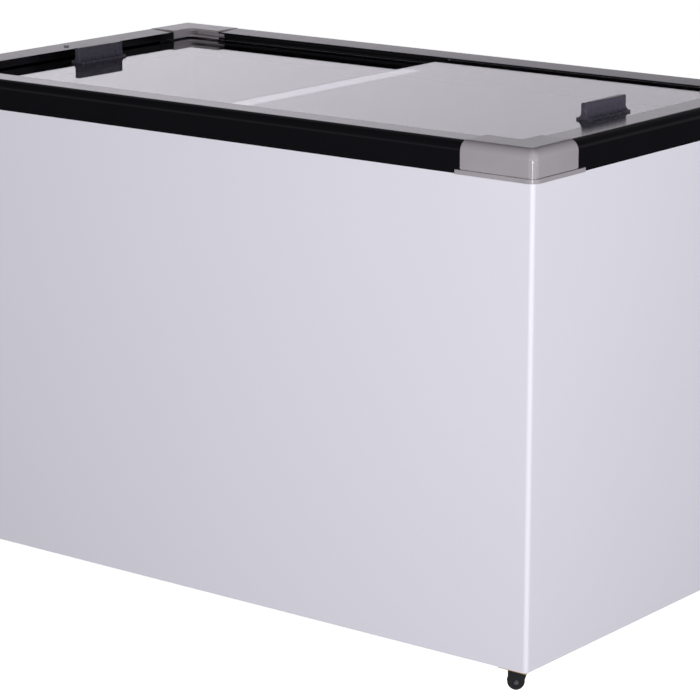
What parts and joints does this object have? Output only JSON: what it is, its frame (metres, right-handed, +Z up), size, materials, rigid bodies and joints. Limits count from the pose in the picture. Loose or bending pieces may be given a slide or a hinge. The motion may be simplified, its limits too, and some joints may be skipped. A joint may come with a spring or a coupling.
{
  "type": "chest freezer",
  "caption": "Long chest freezer with two flat sliding glass lids in a black top frame with grey corner caps, white cabinet, swivel casters and a cooling unit at one end.",
  "frame": {"origin": "on the floor, under the centre of the cabinet (bottom centre of the bounding box)", "axes": "+X along the length to the right as seen from the front, +Y to the rear, +Z up"},
  "size_m": [1.259, 0.7192, 0.8295],
  "materials": {
    "white_paint": "gloss",
    "galvanised_steel": "satin",
    "stucco_aluminium": "satin",
    "insulation_foam": "matte",
    "black_frame": "satin",
    "grey_plastic": "satin",
    "lid_glass": "polished",
    "handle_grey": "satin",
    "yellow_zinc": "satin",
    "black_steel": "satin",
    "zinc_steel": "satin",
    "wheel_nylon": "satin",
    "black_rubber": "matte",
    "copper": "satin",
    "fin_aluminium": "satin",
    "white_plastic": "satin",
    "black_plastic": "matte",
    "green_lens": "gloss"
  },
  "bodies": {
    "cabinet": {"outer_wrap": "white_paint", "rear_panel": "white_paint", "compressor_cover": "white_paint", "inlet_plate": "white_paint", "base_pan": "galvanised_steel", "compressor_tray": "galvanised_steel", "compartment_liner": "galvanised_steel", "foam_insulation": "insulation_foam", "inner_liner": "stucco_aluminium", "left_grille": "white_plastic", "front_rail": "black_frame", "rear_rail": "black_frame", "left_rail": "black_frame", "right_rail": "black_frame", "rail_plug": "black_plastic", "caster_screws": "zinc_steel", "compressor": "black_steel", "compressor_grommets": "black_rubber", "compressor_bolts": "zinc_steel", "relay_box": "black_plastic", "condenser_tube": "copper", "condenser_fins": "fin_aluminium", "fan_shroud": "galvanised_steel", "fan_motor": "black_steel", "filter_drier": "copper", "discharge_line": "copper", "suction_line": "copper", "evaporator_tube": "copper", "thermostat_body": "black_plastic", "indicator_lamp": "green_lens", "power_inlet": "black_plastic", "drain_tube": "white_plastic", "corner_cap_front_left": "grey_plastic", "caster_plate_front_left": "yellow_zinc", "corner_cap_front_right": "grey_plastic", "caster_plate_front_right": "yellow_zinc", "corner_cap_rear_left": "grey_plastic", "caster_plate_rear_left": "yellow_zinc", "corner_cap_rear_right": "grey_plastic", "caster_plate_rear_right": "yellow_zinc"},
    "right_lid": {"upper_lid_glass": "lid_glass", "upper_lid_handle": "handle_grey"},
    "left_lid": {"lower_lid_glass": "lid_glass", "lower_lid_handle": "handle_grey"},
    "fan": {"fan_shaft": "zinc_steel", "fan_blade": "fin_aluminium"},
    "thermostat": {"thermostat_knob": "black_plastic"},
    "drain_stopper": {"drain_plug": "white_plastic"},
    "swivel_front_left": {"caster_fork_front_left": "black_steel", "caster_axle_front_left": "zinc_steel"},
    "wheel_front_left": {"caster_wheel_front_left": "wheel_nylon"},
    "swivel_front_right": {"caster_fork_front_right": "black_steel", "caster_axle_front_right": "zinc_steel"},
    "wheel_front_right": {"caster_wheel_front_right": "wheel_nylon"},
    "swivel_rear_left": {"caster_fork_rear_left": "black_steel", "caster_axle_rear_left": "zinc_steel"},
    "wheel_rear_left": {"caster_wheel_rear_left": "wheel_nylon"},
    "swivel_rear_right": {"caster_fork_rear_right": "black_steel", "caster_axle_rear_right": "zinc_steel"},
    "wheel_rear_right": {"caster_wheel_rear_right": "wheel_nylon"}
  },
  "joints": [
    {"name": "right_lid_slide", "type": "slide", "parent": "cabinet", "child": "right_lid", "axis": [1, 0, 0], "range_m": [-0.485, 0.0035]},
    {"name": "left_lid_slide", "type": "slide", "parent": "cabinet", "child": "left_lid", "axis": [1, 0, 0], "range_m": [-0.0105, 0.485]},
    {"name": "fan_spin", "type": "hinge", "parent": "cabinet", "child": "fan", "pos_m": [-0.545, -0.18, 0.148], "axis": [1, 0, 0], "continuous": true},
    {"name": "thermostat_turn", "type": "hinge", "parent": "cabinet", "child": "thermostat", "pos_m": [-0.6215, -0.12, 0.2475], "axis": [1, 0, 0], "range_deg": [0, 270]},
    {"name": "drain_plug_lift", "type": "slide", "parent": "cabinet", "child": "drain_stopper", "axis": [0, 0, 1], "range_m": [0, 0.022]},
    {"name": "swivel_front_left", "type": "hinge", "parent": "cabinet", "child": "swivel_front_left", "pos_m": [-0.5905, -0.3195, 0.0388], "axis": [0, 0, 1], "continuous": true},
    {"name": "wheel_front_left", "type": "hinge", "parent": "swivel_front_left", "child": "wheel_front_left", "pos_m": [-0.59641, -0.32412, 0.013], "axis": [0.6157, -0.788, 0], "continuous": true},
    {"name": "swivel_front_right", "type": "hinge", "parent": "cabinet", "child": "swivel_front_right", "pos_m": [0.5905, -0.3195, 0.0388], "axis": [0, 0, 1], "continuous": true},
    {"name": "wheel_front_right", "type": "hinge", "parent": "swivel_front_right", "child": "wheel_front_right", "pos_m": [0.58459, -0.32412, 0.013], "axis": [0.6157, -0.788, 0], "continuous": true},
    {"name": "swivel_rear_left", "type": "hinge", "parent": "cabinet", "child": "swivel_rear_left", "pos_m": [-0.5905, 0.3195, 0.0388], "axis": [0, 0, 1], "continuous": true},
    {"name": "wheel_rear_left", "type": "hinge", "parent": "swivel_rear_left", "child": "wheel_rear_left", "pos_m": [-0.59641, 0.31488, 0.013], "axis": [0.6157, -0.788, 0], "continuous": true},
    {"name": "swivel_rear_right", "type": "hinge", "parent": "cabinet", "child": "swivel_rear_right", "pos_m": [0.5905, 0.3195, 0.0388], "axis": [0, 0, 1], "continuous": true},
    {"name": "wheel_rear_right", "type": "hinge", "parent": "swivel_rear_right", "child": "wheel_rear_right", "pos_m": [0.58459, 0.31488, 0.013], "axis": [0.6157, -0.788, 0], "continuous": true}
  ]
}
